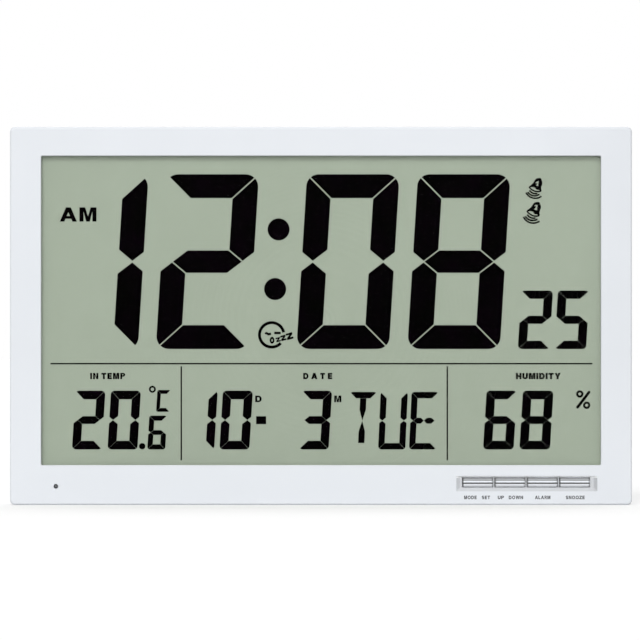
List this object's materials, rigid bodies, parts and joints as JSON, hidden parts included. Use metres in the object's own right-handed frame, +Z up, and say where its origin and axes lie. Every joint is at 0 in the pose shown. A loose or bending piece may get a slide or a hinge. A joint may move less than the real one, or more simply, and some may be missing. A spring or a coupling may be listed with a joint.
{
  "type": "day clock",
  "caption": "Wide upright day clock with a large liquid crystal display, a strip of keys under the window, a fold-out prop leg, a battery bay and keyholes for hanging on a wall.",
  "frame": {"origin": "middle of the case's underside", "axes": "+X to the right seen from the front, +Y from the front to the back, +Z up"},
  "size_m": [0.37, 0.03, 0.225],
  "materials": {
    "bezel_plastic": "pale cool white moulded plastic, fine satin grain",
    "key_silver": "silver plated moulded plastic",
    "keypad_rubber": "pale grey silicone rubber",
    "gasket_foam": "black foam tape",
    "polarizer_film": "clear polarizing film, light gloss",
    "display_glass": "clear float glass",
    "reflector_film": "grey-green transflective film",
    "seal_epoxy": "cured epoxy line",
    "holder_plastic": "natural white moulded plastic",
    "strip_rubber": "striped conductive rubber",
    "segment_black": "near-black liquid crystal segment",
    "circuit_board": "green solder mask on glass-fibre board",
    "screw_steel": "zinc-plated steel",
    "black_epoxy": "black epoxy resin",
    "can_metal": "plain metal can",
    "capacitor_sleeve": "dark shrink sleeve",
    "chip_ceramic": "ceramic chip",
    "sensor_housing": "pale moulded sensor housing",
    "sounder_brass": "brass plate with a pale ceramic face",
    "cell_sleeve": "printed metal sleeve, plain bands",
    "contact_steel": "nickel-plated spring steel",
    "red_insulation": "red insulated wire",
    "black_insulation": "black insulated wire",
    "grey_insulation": "grey insulated wire"
  },
  "bodies": {
    "case": {"front_bezel": "bezel_plastic", "rear_cover": "bezel_plastic", "button_keypad": "keypad_rubber", "lcd_gasket": "gasket_foam", "lcd_front_polarizer": "polarizer_film", "lcd_front_glass": "display_glass", "lcd_rear_glass": "display_glass", "lcd_reflector": "reflector_film", "lcd_edge_seal": "seal_epoxy", "lcd_holder": "holder_plastic", "lcd_contact_strip": "strip_rubber", "time_digits": "segment_black", "time_colon": "segment_black", "seconds_digits": "segment_black", "temperature_digits": "segment_black", "date_digits": "segment_black", "weekday_letters": "segment_black", "humidity_digits": "segment_black", "display_rules": "segment_black", "main_board": "circuit_board", "board_screws": "screw_steel", "holder_screws": "screw_steel", "case_screws": "screw_steel", "controller_glob": "black_epoxy", "timing_crystal": "can_metal", "smoothing_capacitor": "capacitor_sleeve", "chip_components": "chip_ceramic", "humidity_sensor": "sensor_housing", "temperature_sensor": "black_epoxy", "sounder_disc": "sounder_brass", "battery_cell_1": "cell_sleeve", "battery_cell_2": "cell_sleeve", "battery_contact_positive": "contact_steel", "battery_contact_negative": "contact_steel", "battery_contact_link": "contact_steel", "battery_lead_red": "red_insulation", "battery_lead_black": "black_insulation", "sounder_leads": "grey_insulation", "sensor_leads": "grey_insulation"},
    "mode_set_rocker": {"mode_set_rocker": "key_silver"},
    "up_down_rocker": {"up_down_rocker": "key_silver"},
    "alarm_button": {"alarm_button": "key_silver"},
    "snooze_button": {"snooze_button": "key_silver"},
    "stand_leg": {"stand_leg": "bezel_plastic"},
    "battery_door": {"battery_door": "bezel_plastic"}
  },
  "joints": [
    {"name": "mode_set_rocker_tilt", "type": "hinge", "parent": "case", "child": "mode_set_rocker", "pos_m": [0.0932, -0.0108, 0.01345], "axis": [0, 0, 1], "range_deg": [-3, 3], "stiffness_Nm_per_rad": 0.05, "deforming": ["button_keypad"]},
    {"name": "up_down_rocker_tilt", "type": "hinge", "parent": "case", "child": "up_down_rocker", "pos_m": [0.1124, -0.0108, 0.01345], "axis": [0, 0, 1], "range_deg": [-3, 3], "stiffness_Nm_per_rad": 0.05, "deforming": ["button_keypad"]},
    {"name": "alarm_button_press", "type": "slide", "parent": "case", "child": "alarm_button", "axis": [0, 1, 0], "range_m": [0, 0.0008], "stiffness_N_per_m": 1500, "deforming": ["button_keypad"]},
    {"name": "snooze_button_press", "type": "slide", "parent": "case", "child": "snooze_button", "axis": [0, 1, 0], "range_m": [0, 0.0008], "stiffness_N_per_m": 1500, "deforming": ["button_keypad"]},
    {"name": "stand_leg_hinge", "type": "hinge", "parent": "case", "child": "stand_leg", "pos_m": [0, 0.0125, 0.098], "axis": [1, 0, 0], "range_deg": [0, 40]},
    {"name": "battery_door_hinge", "type": "hinge", "parent": "case", "child": "battery_door", "pos_m": [-0.095, 0.015, 0.0771], "axis": [1, 0, 0], "range_deg": [0, 60]}
  ]
}
